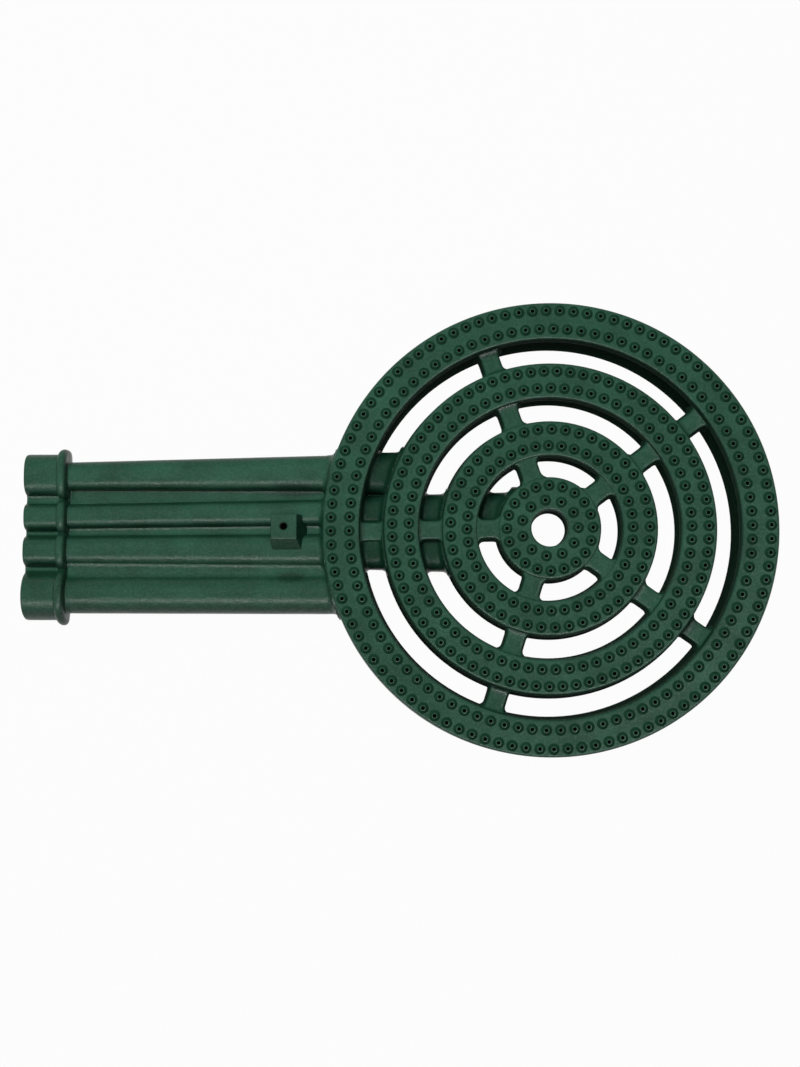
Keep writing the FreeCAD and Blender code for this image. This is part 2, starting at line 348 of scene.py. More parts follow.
def zincSteel():
    # Zinc plated steel: a cool metal with a faint cloudy bloom
    material, tree, shader = newMaterial("zincPlatedSteel")
    coords = addNode(tree, "ShaderNodeTexCoord").outputs["Object"]
    bloom = addNode(tree, "ShaderNodeTexNoise", {"Scale": 1 / (zincLook["bloomMm"] * mm), "Detail": 3.0},
                    {"Vector": coords}).outputs["Fac"]
    colour = addNode(tree, "ShaderNodeValToRGB", {}, {"Fac": bloom}, zincLook["stops"])
    haze = addNode(tree, "ShaderNodeMapRange",
                   {"From Min": 0.3, "From Max": 0.7,
                    "To Min": zincLook["roughness"][0], "To Max": zincLook["roughness"][1]},
                   {"Value": bloom})
    tree.links.new(colour.outputs["Color"], shader.inputs["Base Color"])
    tree.links.new(haze.outputs[0], shader.inputs["Roughness"])
    shader.inputs["Metallic"].default_value = 1.0
    return material


paint = paintedIron("sprayedEnamelOnSandCasting", baseShade=0.0, shine=1.0)
# painted shade: the tubes in the gaps are coloured darker, with less gloss
gapPaint = paintedIron("enamelWithPaintedShadeBetweenRings", baseShade=0.55, shine=0.45)
# painted shade: darker, matt colours for walls and sides
wallShadeCoat = mottledSurface("mattEnamelWithPaintedShadeOnWalls", overspray, "#173526", "#204433", 0.05)
# painted shade: darker, matt colours for the nipples' sides
nippleShadeCoat = mottledSurface("mattEnamelWithPaintedShadeOnNippleSides", overspray, "#1A3C2B", "#234B36", 0.05)
# painted shade: near-black green for the trough walls in the gaps
troughWallShade = mottledSurface("mattEnamelWithPaintedShadeOnTroughWalls", overspray, "#0E2619", "#1A3628", 0.01)
iron = mottledSurface("drilledCastIron", drilled, "#0E110F", "#1B1F1C", 0.5)
sealFibre = mottledSurface("pressedMineralFibre", pressedFibre, "#1E221F", "#3A3F3B", 0.5)
zinc = zincSteel()
print("materials made")

# Port rings: every port is a raised nipple with a drilled hole through the plate

portRing = {
    "finish": [paint, iron, wallShadeCoat, nippleShadeCoat],
    "plate": 4.5,
    "edgeRound": 1.5,
    "outerRowInset": 5.4,
    "innerRowInset": 6.5,
    "seamHalf": 0.8,     # half the strip between the two rows, filled once both are turned
    "stepsRound": 110,   # about as many steps round a row, shared among its ports
    "turn": 0.8,         # degrees that the rows are turned from the tubes' line
    "nippleR": 3.85,
    "nippleSides": 12,
    "nippleSteps": [(0.35, 0.1, nippleShadeCoat), (0.65, 0.65, nippleShadeCoat), (0.55, 0.6, nippleShadeCoat),
                    (0.35, 0.25, nippleShadeCoat), (0.6, 0.0, paint)],   # inwards, upwards and coat; the sides' darker coat is painted shade
    "portR": 1.35,
    "skin": 0.4,         # how far in a face still belongs to the outside
    "bossR": 4.3,        # round bosses under the plate, which take the screws
    "bossSides": 20,
    "tappedR": 2.5,
    "threadCover": 3.0,
}


def portCell(bm, profile, count, rowR):
    # one port's share of the ring
    steps = max(2, round(portRing["stepsRound"] / count))
    turnedChain(bm, profile, -math.pi / count, 2 * math.pi / count, steps)
    cap = circleIn(bm, facesAt(bm, 0, rowR), (rowR, 0, 0), portRing["nippleR"], portRing["nippleSides"])
    faceTowards(cap, 1)
    # the nipples' sides take the darker coat, as painted shade
    for inwards, upwards, coat in portRing["nippleSteps"]:
        made = bmesh.ops.inset_individual(bm, faces=[cap], thickness=inwards, depth=upwards,
                                          use_even_offset=True)
        dress(made["faces"], portRing["finish"], coat)
    ceiling = -portRing["plate"]
    under = circleIn(bm, facesAt(bm, ceiling), (rowR, 0, ceiling), portRing["portR"],
                     portRing["nippleSides"])
    rim = list(cap.edges) + list(under.edges)
    bmesh.ops.delete(bm, geom=[cap, under], context="FACES_ONLY")
    hole = bmesh.ops.bridge_loops(bm, edges=rim)
    dress(hole["faces"], portRing["finish"], iron)


def screwBoss(bm, place, lowZ, highZ, tipZ):
    # a turned post under the plate, with its blind hole
    post = bmesh.new()
    profile = [(0, tipZ), (portRing["tappedR"], tipZ), (portRing["tappedR"], lowZ),
               (portRing["bossR"], lowZ), (portRing["bossR"], highZ), (0, highZ)]
    turnedChain(post, profile, 0, 2 * math.pi, portRing["bossSides"])
    mergeDoubles(post)
    bmesh.ops.translate(post, verts=post.verts, vec=place)
    addTo(bm, post)


def makePortRing(ring):
    low = ringSizes["rimZ"] + ringSizes["sealThickness"]
    ceiling = -portRing["plate"]
    wall = ringSizes["wall"]
    outerRow = ring["outerR"] - portRing["outerRowInset"]
    innerRow = ring["innerR"] + portRing["innerRowInset"]
    between = (outerRow + innerRow) / 2
    strip = portRing["seamHalf"]
    brim = portRing["edgeRound"] + ringSizes["besideRound"]
    bm = bmesh.new()
    halves = [
        ([(between + strip, 0), (ring["outerR"] - brim, 0), (ring["outerR"], 0),
          (outerAt(ring, low), low), (outerAt(ring, low) - wall, low),
          (outerAt(ring, ceiling) - wall, ceiling), (between + strip, ceiling)],
         ring["outerPorts"], outerRow),
        ([(between - strip, 0), (ring["innerR"] + brim, 0), (ring["innerR"], 0),
          (innerAt(ring, low), low), (innerAt(ring, low) + wall, low),
          (innerAt(ring, ceiling) + wall, ceiling), (between - strip, ceiling)],
         ring["innerPorts"], innerRow),
    ]
    for profile, count, rowR in halves:
        half = bmesh.new()
        portCell(half, profile, count, rowR)
        copyRound(half, count)
        mergeDoubles(half)
        turnBy(half, portRing["turn"])
        addTo(bm, half)
    for z in (0, ceiling):
        seam = [e for e in openEdges(bm) if abs(e.verts[0].co.z - z) < tiny
                and abs(math.hypot(*e.verts[0].co.xy) - between) < 2 * strip]
        bmesh.ops.triangle_fill(bm, edges=seam, use_beauty=True)
    edges = edgesOnCircle(bm, ring["outerR"], 0) + edgesOnCircle(bm, ring["innerR"], 0)
    roundEdges(bm, edges, portRing["edgeRound"], 3)
    bm.normal_update()
    # the walls below the rounded edges take the darker coat, as painted shade
    walls = []
    for f in bm.faces:
        middle = f.calc_center_median()
        radius = math.hypot(*middle.xy)
        inWall = radius > ring["outerR"] - portRing["skin"] or radius < ring["innerR"] + portRing["skin"]
        if isWall(f) and inWall and middle.z < -portRing["edgeRound"]:
            walls.append(f)
    dress(walls, portRing["finish"], wallShadeCoat)
    for place in screwPlaces(ring):
        screwBoss(bm, place, ringSizes["rimZ"], ceiling / 2, -portRing["threadCover"])
    return finishPiece(bm, ring["name"] + "PortRing", ring["name"] + "_port_ring",
                       portRing["finish"])


for ring in rings:
    piece = makePortRing(ring)
    print("port ring:", piece.name, len(piece.data.polygons), "faces")

# Seals: thin flat rings between the two castings, a little eased at their edges

seal = {
    "ease": 0.25,   # pressed edges
    "steps": 120,
}


def makeSeal(ring, side):
    low = ringSizes["rimZ"]
    high = low + ringSizes["sealThickness"]
    wall = ringSizes["wall"]
    if side == "outer":
        profile = [(outerAt(ring, low) - wall, low), (outerAt(ring, low), low),
                   (outerAt(ring, high), high), (outerAt(ring, high) - wall, high)]
    else:
        profile = [(innerAt(ring, low), low), (innerAt(ring, low) + wall, low),
                   (innerAt(ring, high) + wall, high), (innerAt(ring, high), high)]
    bm = bmesh.new()
    turnedChain(bm, profile, 0, 2 * math.pi, seal["steps"], closed=True)
    mergeDoubles(bm)
    hoops = [e for r, z in profile for e in edgesOnCircle(bm, r, z)]
    roundEdges(bm, hoops, seal["ease"], 2)
    node = ring["name"] + "_ring_" + side + "_seal"
    return finishPiece(bm, ring["name"] + "Ring" + side.capitalize() + "Seal", node,
                       [sealFibre])


for ring in rings:
    makeSeal(ring, "outer")
    makeSeal(ring, "inner")
print("seals made")

# Lower casting: the four troughs, with round pockets in their feet for the screws

trough = {
    "footEdge": 1.0,
    "pocketR": 5.6,
    "pocketDepth": 6.5,
    "pocketSides": 28,
    "pocketMargin": 2.5,   # flat foot around a pocket that is opened for it, across
    "footReach": 4.0,      # and out from the ring's middle
    "skin": 1.0,           # how far in a face still belongs to the outside
    "steps": 144,
}


def addTrough(bm, ring, finish):
    rim = ringSizes["rimZ"]
    wall = ringSizes["wall"]
    foot = -ring["height"]
    floor = foot + wall
    brim = trough["footEdge"] + ringSizes["besideRound"]
    profile = [(outerAt(ring, rim), rim), (outerAt(ring, foot), foot), (outerAt(ring, foot) - brim, foot),
               (innerAt(ring, foot) + brim, foot), (innerAt(ring, foot), foot),
               (innerAt(ring, rim), rim), (innerAt(ring, rim) + wall, rim),
               (innerAt(ring, floor) + wall, floor), (outerAt(ring, floor) - wall, floor),
               (outerAt(ring, rim) - wall, rim)]
    sector = bmesh.new()
    count = ring["screws"]
    turnedChain(sector, profile, -math.pi / count, 2 * math.pi / count, trough["steps"] // count,
                closed=True)
    # painted shade: the walls in the gaps take a near-black coat; the outermost wall stands free
    walls = []
    for f in sector.faces:
        middle = f.calc_center_median()
        radius = math.hypot(middle.x, middle.y)
        onInside = radius < innerAt(ring, middle.z) + trough["skin"]
        onOutside = radius > outerAt(ring, middle.z) - trough["skin"] and ring is not rings[0]
        if isWall(f) and (onInside or onOutside):
            walls.append(f)
    dress(walls, finish, troughWallShade)
    reach = trough["pocketR"] + trough["pocketMargin"]
    under = [f for f in facesAt(sector, foot, midR(ring), trough["footReach"])
             if abs(f.calc_center_median().y) < reach and f.calc_center_median().x > 0]
    cap = circleIn(sector, under, (midR(ring), 0, foot), trough["pocketR"], trough["pocketSides"])
    faceTowards(cap, -1)
    bmesh.ops.inset_individual(sector, faces=[cap], thickness=0.0, depth=-trough["pocketDepth"])
    copyRound(sector, count)
    mergeDoubles(sector)
    roundEdges(sector, edgesOnCircle(sector, outerAt(ring, foot), foot)
               + edgesOnCircle(sector, innerAt(ring, foot), foot), trough["footEdge"], 2)
    turnBy(sector, ring["turn"])
    addTo(bm, sector)


# Spokes: cast bars across the gaps, with fillets where they meet the rings

spoke = {
    "count": 5,
    "turn": 180.8,               # degrees, where the first one stands
    "topWidth": 12.5,
    "footWidth": 15.0,           # draft for the mould
    "depth": 17.0,
    "fillet": 4.0,
    "topRound": 1.8,
    "bury": 1.0,                 # how far the ends reach into the ring walls
    "belowRound": 3.0,           # the walls are measured at least this far down, below their round edges
    "drops": [11.0, 5.0, 1.0],   # below the ported tops, from the outermost gap inwards
    "lifts": [1.6, 1.2, 0.0],    # how far the top sweeps up to the rings
    "steps": (16, 4),            # along and across
    "topSlope": 0.6,             # upward share of the normal above which a face belongs to the top
    "sideSlope": 0.35,           # and below which a face takes the darker coat, as painted shade
}


def filletRise(distance, radius):
    # height of a quarter-round fillet at a distance from the wall it meets
    d = min(max(distance, 0.0), radius)
    return radius - math.sqrt(radius * radius - (radius - d) ** 2)


def addSpokes(bm, around, within, drop, lift, finish):
    level = -max(drop, spoke["belowRound"])
    bury = spoke["bury"]
    nearR = outerAt(within, level)
    farR = innerAt(around, level)
    along, across = spoke["steps"]
    bar = bmesh.new()
    bmesh.ops.create_grid(bar, x_segments=along, y_segments=across, size=0.5)
    lowVerts = set(vertsOf(bmesh.ops.extrude_face_region(bar, geom=bar.faces[:])["geom"]))
    onGrid = {v: (v.co.x, v.co.y) for v in bar.verts}
    for v, (x, y) in onGrid.items():
        # the grid's X becomes the radius, so that both ends follow the rings
        radius = nearR - bury + (farR - nearR + 2 * bury) * (0.5 - 0.5 * math.cos(math.pi * (x + 0.5)))
        rise = filletRise(min(radius - nearR, farR - radius), spoke["fillet"])
        if v in lowVerts:
            width, z = spoke["footWidth"], -drop - spoke["depth"]
        else:
            width, z = spoke["topWidth"], -drop + lift * rise / spoke["fillet"]
        aside = y * (width + 2 * rise)
        v.co = Vector((math.sqrt(radius * radius - aside * aside), aside, z))
    bmesh.ops.recalc_face_normals(bar, faces=bar.faces)
    shoulders = [e for e in bar.edges if lowVerts.isdisjoint(e.verts)
                 and sum(f.normal.z > spoke["topSlope"] for f in e.link_faces) == 1
                 and all(abs(abs(onGrid[v][1]) - 0.5) < tiny for v in e.verts)]
    roundEdges(bar, shoulders, spoke["topRound"], 3)
    bar.normal_update()
    # painted shade: the spokes' sides take the darker coat
    dress([f for f in bar.faces if f.normal.z < spoke["sideSlope"]], finish, wallShadeCoat)
    turnBy(bar, spoke["turn"])
    copyRound(bar, spoke["count"])
    addTo(bm, bar)


# Mixing tubes: four lobes joined by webs, drawn out along X from the rings to the collar

tubes = {
    "axisZ": -25.5,
    "footZ": -44.0,           # nothing hangs below the feet of the rings
    "webBlend": 3.0,          # how far above a web its fillets reach
    "webMost": 0.95,          # share of a tube's height that the web beside it may reach
    "webSteps": 4,            # across each web
    "arcSteps": 18,           # along each tube's top and bottom
    "ringFillet": 4.0,        # up to the outer ring
    "gapFillet": 3.5,         # up to the walls in the gaps
    "filletLevel": -20.0,     # where those walls are measured
    "filletDepth": 8.0,       # how far inside a wall its fillet still counts
    "filletEndX": -170.0,     # past which no fillet reaches
    "headX": -149.0,
    "swell": 0.6,             # below 1, the tubes widen early after the outer ring
    "startX": -134.0,         # inside the outer ring's wall
    "fineSteps": (36, 0.8),   # count and length, over the fillet at the outer ring
    "plainSteps": (6.0, 12.0, 5.0),   # the first one, the others, and what is left at the bead
    "gapStarts": [-134.0, -97.0, -59.0],   # inside the walls, from the outermost gap inwards
    "gapSteps": 44,
    # at the collar, the mouth, the outer ring and the far end: middle, half width and half height;
    # "square" is 2 for an ellipse and more for a flatter top, "web" is half the thickness below the tube,
    # and "bore" is its radius behind the mouth and at the outer ring
    "list": [
        {"feeds": "second", "lobe": (37.1, 14.5, 15.2), "mouth": (36.2, 9.4, 11.0),
         "head": (38.4, 12.2, 12.6), "end": (38.4, 14.6, 14.4), "endX": -94.2,
         "square": 2.8, "web": 1.5, "bore": (6.6, 10.2)},
        {"feeds": "centre", "lobe": (8.6, 9.5, 14.2), "mouth": (8.9, 8.4, 10.8),
         "head": (11.8, 9.0, 11.4), "end": (12.2, 13.6, 13.0), "endX": -19.5,
         "square": 2.8, "web": 4.0, "bore": (7.4, 7.8)},
        {"feeds": "third", "lobe": (-14.4, 10.5, 15.0), "mouth": (-13.7, 9.8, 11.4),
         "head": (-13.6, 11.2, 12.0), "end": (-13.0, 15.2, 14.0), "endX": -56.0,
         "square": 2.8, "web": 7.0, "bore": (8.2, 9.5)},
        {"feeds": "outer", "lobe": (-44.2, 16.6, 18.3), "mouth": (-43.1, 13.1, 13.8),
         "head": (-42.9, 13.5, 14.0), "end": (-42.0, 14.2, 14.2), "endX": -133.6,
         "square": 2.1, "web": 0.0, "bore": (11.4, 11.4)},
    ],
}
collar = {
    "mouthX": -352.0,
    "length": 22.2,
    "wall": 4.2,              # growth from the mouths' outline to the lobes'
    "webHalf": 6.0,           # half the thickness between the lobes
    "endRound": 1.0,
    "beadLength": 6.6,
    "beadRise": 3.5,
    "beadLean": 0.2,          # how much the back of the bead comes forward for each mm below the axes
    "backFillet": 1.2,
    "backStep": 0.6,          # how far under the lobes' outline the back of the bead starts
    # share of the way that the webs have risen to the collar's: at the fillet, the back and the start
    # of the bead, and at the rounded end
    "webShares": (0.12, 0.5, 0.65, 0.75),
    "stations": (0.04, 0.25, 0.5, 0.75, 0.93),   # shares of the length
    "mouthDepth": 31.0,
    "mouthStep": 0.5,
    "stepLength": 0.6,        # of the shoulder where the mouth narrows to the bore
    "mouthChamfer": 1.2,
    "mouthSides": 36,
}


def mixed(low, high, share):
    return [p + (q - p) * share for p, q in zip(low, high)]


def tubeShape(tube, x, grow):
    # middle, half width and half height at a station, grown towards the collar's lobe
    if x < tubes["headX"]:
        share = (x - collar["mouthX"]) / (tubes["headX"] - collar["mouthX"])
        shape = mixed(tube["mouth"], tube["head"], share)
    else:
        share = min(1.0, (x - tubes["headX"]) / (tube["endX"] - tubes["headX"]))
        shape = mixed(tube["head"], tube["end"], share ** tubes["swell"])
    y, width, height = mixed(shape, tube["lobe"], min(1.0, grow / collar["wall"]))
    beyond = max(0.0, grow - collar["wall"])
    return y, width + beyond, height + beyond


def smoothMax(a, b, reach):
    # the larger of two heights, with a fillet where they meet
    share = max(reach - abs(a - b), 0.0) / reach
    return max(a, b) + share * share * reach / 4


def webLevel(tube, lift, rise):
    # height above the axes of the web below a tube, raised towards the collar's by a share
    return tube["web"] + (collar["webHalf"] - tube["web"]) * lift + rise


def bundleHeight(group, shapes, y, lift, rise):
    # half the thickness of tubes and webs at a place across them
    arcs = []
    for tube, (middle, width, height) in zip(group, shapes):
        share = min(1.0, abs(y - middle) / width)
        arcs.append(height * (1 - share ** tube["square"]) ** (1 / tube["square"]))
    for index in range(len(group) - 1):
        if shapes[index + 1][0] <= y <= shapes[index][0]:
            return smoothMax(max(arcs), webLevel(group[index], lift, rise), tubes["webBlend"])
    return max(arcs)


def jointTurn(tube, height, web):
    # how far round a tube the web beside it meets it
    share = min(tubes["webMost"], web / height)
    return math.asin(share ** (tube["square"] / 2))


def bundleWidths(group, shapes, lift, rise):
    # places across the tubes and webs, from the first tube's open side to the last one's
    steps = tubes["arcSteps"]
    places = []
    for index, (tube, (middle, width, height)) in enumerate(zip(group, shapes)):
        first = last = math.pi / (4 * steps)
        if index > 0:
            first = jointTurn(tube, height, webLevel(group[index - 1], lift, rise))
        if index < len(group) - 1:
            last = jointTurn(tube, height, webLevel(tube, lift, rise))
        span = math.pi - last - first
        turns = [first + span * k / steps for k in range(steps + 1)]
        arc = [middle + width * math.copysign(abs(math.cos(t)) ** (2 / tube["square"]), math.cos(t))
               for t in turns]
        if places:
            start = places[-1]
            places += [start + (arc[0] - start) * k / tubes["webSteps"] for k in range(1, tubes["webSteps"])]
        places += arc
    return places


def bundleLoop(group, x, grow, lift, rise):
    # the closed outline at a station: over the tops, and back along the bottoms
    axisZ = tubes["axisZ"]
    shapes = [(y, width + rise, height + rise) for y, width, height in (tubeShape(t, x, grow) for t in group)]
    places = bundleWidths(group, shapes, lift, rise)
    tops = [Vector((x, y, axisZ + bundleHeight(group, shapes, y, lift, rise))) for y in places]
    return tops + [Vector((x, p.y, max(2 * axisZ - p.z, tubes["footZ"]))) for p in reversed(tops)]


def wallDistance(p, walls):
    # distance in plan to the nearest ring wall outside it, and that wall's fillet
    best = (math.inf, 0.0)
    for radius, side, fillet, foot in walls:
        gap = (math.hypot(p.x, p.y) - radius) * side
        if p.z > foot and -tubes["filletDepth"] < gap < best[0]:
            best = (gap, fillet)
    return best


def stationLoop(group, x, grow, lift, walls):
    points = bundleLoop(group, x, grow, lift, 0.0)
    for k, p in enumerate(points):
        gap, fillet = wallDistance(p, walls)
        if gap < fillet:
            points[k] = bundleLoop(group, x, grow, lift, filletRise(gap, fillet))[k]
    return points


def ringWalls(outerRing, innerRing):
    # radius, the side that the gap lies on, fillet and foot
    level = tubes["filletLevel"]
    walls = []
    if outerRing:
        walls.append((innerAt(outerRing, level), -1, tubes["gapFillet"], -outerRing["height"]))
    if innerRing:
        fillet = tubes["gapFillet"] if outerRing else tubes["ringFillet"]
        walls.append((outerAt(innerRing, level), 1, fillet, -innerRing["height"]))
    return walls


def drawOut(bm, edges):
    # the edges drawn out by faces: the new vertices, and the new edges between them
    made = bmesh.ops.extrude_edge_only(bm, edges=edges)["geom"]
    fresh = vertsOf(made)
    kept = set(fresh)
    return fresh, [e for e in made if isinstance(e, bmesh.types.BMEdge) and kept.issuperset(e.verts)]


def loft(bm, loops):
    # the first outline, drawn out to each of the others; gives the last one's edges
    row, edges = chain(bm, loops[0], closed=True)
    for points in loops[1:]:
        fresh, edges = drawOut(bm, edges)
        kept = set(fresh)
        row = [next(e.other_vert(v) for e in v.link_edges if e.other_vert(v) in kept) for v in row]
        for v, p in zip(row, points):
            v.co = p
    return edges


def addTubeRun(bm, group, startX, endX, walls, finish):
    # a run of tubes between two rings, closed at both ends
    steps = tubes["gapSteps"]
    stations = [startX + (endX - startX) * k / steps for k in range(steps + 1)]
    run = bmesh.new()
    edges = loft(run, [stationLoop(group, x, 0.0, 0.0, walls) for x in stations])
    bmesh.ops.edgeloop_fill(run, edges=edges)
    bmesh.ops.edgeloop_fill(run, edges=openEdges(run))
    # painted shade: the tubes in the gaps take the darker paint
    dress(run.faces, finish, gapPaint)
    addTo(bm, run)


def smoothStep(t):
    t = min(1.0, max(0.0, t))
    return t * t * (3 - 2 * t)


def quarterRound(radius, steps):
    # a quarter-round edge: how far it still lies ahead, and how far it has come away from the surface
    turns = [math.pi / 2 * k / steps for k in range(steps + 1)]
    return [(radius * (1 - math.sin(turn)), radius * (1 - math.cos(turn))) for turn in turns]


def inletStations():
    # place along X, growth towards the collar's lobes, and share of the collar's web, from the ring on
    collarEnd = collar["mouthX"] + collar["length"]
    back = collarEnd + collar["beadLength"]
    beadMid = collarEnd + collar["beadLength"] / 2
    wall = collar["wall"]
    atFillet, atBack, atBead, atEnd = collar["webShares"]
    count, length = tubes["fineSteps"]
    stations = [(tubes["startX"] - length * k, 0.0, 0.0) for k in range(count)]
    firstStep, plainStep, left = tubes["plainSteps"]
    x = stations[-1][0] - firstStep
    while x > back + left:
        stations.append((x, 0.0, 0.0))
        x -= plainStep
    # small fillet up to the back of the bead
    for k, (ahead, away) in enumerate(quarterRound(collar["backFillet"], 4)):
        stations.append((back + ahead, away, atFillet * k / 4))
    stations.append((back, wall - collar["backStep"], atBack))
    # half-round bead, from its back to the collar
    for k in range(11):
        turn = math.pi * k / 10
        stations.append((beadMid + math.cos(turn) * collar["beadLength"] / 2,
                         wall + collar["beadRise"] * math.sin(turn),
                         atBead + (1.0 - atBead) * smoothStep(k / 8)))
    for share in collar["stations"]:
        stations.append((collarEnd - share * collar["length"], wall, 1.0))
    # rounded end of the mouths
    for ahead, away in quarterRound(collar["endRound"], 3)[1:]:
        stations.append((collar["mouthX"] + ahead, wall - away,
                         1.0 - (1.0 - atEnd) * away / collar["endRound"]))
    return stations


def openMouths(run, group, front):
    # the face at the mouths, around one round hole for each; gives each hole's edges
    hoops = []
    for tube in group:
        place = Matrix.Translation((collar["mouthX"], tube["lobe"][0], tubes["axisZ"]))
        radius = tube["bore"][0] + collar["mouthStep"] + collar["mouthChamfer"]
        made = bmesh.ops.create_circle(run, cap_ends=False, segments=collar["mouthSides"], radius=radius,
                                       matrix=place @ Matrix.Rotation(math.pi / 2, 4, "Y"))
        hoops.append(list(dict.fromkeys(e for v in made["verts"] for e in v.link_edges)))
    bmesh.ops.triangle_fill(run, edges=front + sum(hoops, []), use_beauty=True, normal=(-1, 0, 0))
    return hoops


def sinkBore(run, tube, edges, finish):
    # from the mouth's chamfer through its step to the outer ring, and closed there
    middle = tube["lobe"][0]
    mouthR = tube["bore"][0] + collar["mouthStep"]
    stepX = collar["mouthX"] + collar["mouthDepth"]
    steps = [(mouthR, collar["mouthX"] + collar["mouthChamfer"], middle),
             (mouthR, stepX, middle),
             (tube["bore"][0], stepX + collar["stepLength"], middle),
             (tube["bore"][1], tubes["headX"] - 1, tube["head"][0])]
    at = middle
    for radius, x, y in steps:
        fresh, edges = drawOut(run, edges)
        for v in fresh:
            away = Vector((v.co.y - at, v.co.z - tubes["axisZ"])).normalized() * radius
            v.co = Vector((x, y + away.x, tubes["axisZ"] + away.y))
        at = y
        dress({f for v in fresh for f in v.link_faces}, finish, iron)
    bmesh.ops.edgeloop_fill(run, edges=edges)


def addInletRun(bm, finish):
    # all four tubes, the bead and the collar in one skin, with the bores sunk from the mouths
    group = tubes["list"]
    walls = ringWalls(None, rings[0])
    collarEnd = collar["mouthX"] + collar["length"]
    beadBack = collarEnd + collar["beadLength"] + collar["backFillet"]
    loops = []
    for x, grow, lift in inletStations():
        points = stationLoop(group, x, grow, lift, walls if x > tubes["filletEndX"] else [])
        if collarEnd < x < beadBack + tiny:
            share = min((x - collarEnd) / collar["beadLength"], 1.0)
            for p in points:
                p.x -= share * collar["beadLean"] * max(0.0, tubes["axisZ"] - p.z)
        loops.append(points)
    run = bmesh.new()
    front = loft(run, loops)
    hoops = openMouths(run, group, front)
    for tube, hoop in zip(group, hoops):
        sinkBore(run, tube, hoop, finish)
    bmesh.ops.edgeloop_fill(run, edges=openEdges(run))
    addTo(bm, run)


# Pilot boss: a square block on the tubes with a tapped hole

pilotBoss = {
    "x": -175.9, "y": 1.7, "topZ": -6.0, "footZ": -25.5,
    "length": 17.4, "width": 16.4,
    "flareX": 7.0, "flareY": 18.0,   # at the foot, most of which the tubes hide
    "edge": 0.9,
    "holeR": 2.5,
    "holeChamfer": 0.4,
    "holeDepth": 14.0,
    "holeSides": 20,
}


def addPilotBoss(bm, finish):
    block = bmesh.new()
    bmesh.ops.create_cube(block, size=1.0)
    for v in block.verts:
        low = v.co.z < 0
        flareX = pilotBoss["flareX"] if low and v.co.x > 0 else 0
        flareY = pilotBoss["flareY"] if low and v.co.y < 0 else 0
        v.co = Vector((pilotBoss["x"] + v.co.x * pilotBoss["length"] + flareX,
                       pilotBoss["y"] + v.co.y * pilotBoss["width"] - flareY,
                       pilotBoss["footZ"] if low else pilotBoss["topZ"]))
    aboveFoot = [e for e in block.edges if max(v.co.z for v in e.verts) > pilotBoss["footZ"] + tiny]
    roundEdges(block, aboveFoot, pilotBoss["edge"], 2)
    chamfer = pilotBoss["holeChamfer"]
    cap = circleIn(block, facesAt(block, pilotBoss["topZ"]),
                   (pilotBoss["x"], pilotBoss["y"], pilotBoss["topZ"]),
                   pilotBoss["holeR"] + chamfer, pilotBoss["holeSides"])
    faceTowards(cap, 1)
    bmesh.ops.inset_individual(block, faces=[cap], thickness=chamfer, depth=-chamfer, use_even_offset=True)
    made = bmesh.ops.inset_individual(block, faces=[cap], thickness=0.0, depth=-pilotBoss["holeDepth"])
    dress([cap] + made["faces"], finish, iron)
    addTo(bm, block)


def makeBody():
    bm = bmesh.new()
    finish = [paint, iron, troughWallShade, wallShadeCoat, gapPaint]
    for ring in rings:
        addTrough(bm, ring, finish)
    print("troughs made:", len(bm.faces), "faces")
    for around, within, drop, lift in zip(rings, rings[1:], spoke["drops"], spoke["lifts"]):
        addSpokes(bm, around, within, drop, lift, finish)
    print("spokes made:", len(bm.faces), "faces")
    addInletRun(bm, finish)
    for around, within, startX in zip(rings, rings[1:], tubes["gapStarts"]):
        # the tubes that end at the inner ring of the gap, or go on past it
        endX = next(tube["endX"] for tube in tubes["list"] if tube["feeds"] == within["name"])
        group = [tube for tube in tubes["list"] if tube["endX"] >= endX]
        addTubeRun(bm, group, startX, endX, ringWalls(around, within), finish)
    print("tubes and collar made:", len(bm.faces), "faces")
    addPilotBoss(bm, finish)
    return finishPiece(bm, "burnerCasting", "burner_body", finish)


body = makeBody()
print("lower casting:", len(body.data.polygons), "faces")

# Fixings from below: hexagon screws on plain washers

fixing = {
    "screwR": 2.5,
    "tipChamfer": 0.6,
    "shankSides": 18,
    "headFlats": 8.0,
    "headHeight": 3.5,
    "headChamfer": (0.5, 0.35),   # inwards and downwards
    "washerR": 5.0,
    "washerThickness": 1.0,
    "washerEase": 0.2,
    "washerSides": 28,
    "clearance": 0.3,
    "endGap": 1.0,
}


def makeScrews(ring):
    seat = -ring["height"] + trough["pocketDepth"] - fixing["washerThickness"]
    tip = -portRing["threadCover"] - fixing["endGap"]
    screwR = fixing["screwR"]
    inwards, downwards = fixing["headChamfer"]
    bm = bmesh.new()
    for place in screwPlaces(ring):
        one = bmesh.new()
        made = bmesh.ops.create_circle(one, cap_ends=True, segments=6,
                                       radius=fixing["headFlats"] / 2 / math.cos(math.pi / 6),
                                       matrix=Matrix.Translation((0, 0, seat)))
        head = made["verts"][0].link_faces[0]
        faceTowards(head, -1)
        top = bmesh.ops.extrude_face_region(one, geom=[head])["geom"]
        bmesh.ops.translate(one, verts=vertsOf(top), vec=(0, 0, -fixing["headHeight"] + downwards))
        face = next(f for f in top if isinstance(f, bmesh.types.BMFace))
        bmesh.ops.inset_individual(one, faces=[face], thickness=inwards, depth=downwards,
                                   use_even_offset=True)
        shank = bmesh.new()
        profile = [(0, seat), (screwR, seat), (screwR, tip - fixing["tipChamfer"]),
                   (screwR - fixing["tipChamfer"], tip), (0, tip)]
        turnedChain(shank, profile, 0, 2 * math.pi, fixing["shankSides"])
        mergeDoubles(shank)
        addTo(one, shank)
        bmesh.ops.translate(one, verts=one.verts, vec=place)
        addTo(bm, one)
    return finishPiece(bm, ring["name"] + "RingScrews", ring["name"] + "_ring_screws", [zinc], 25)


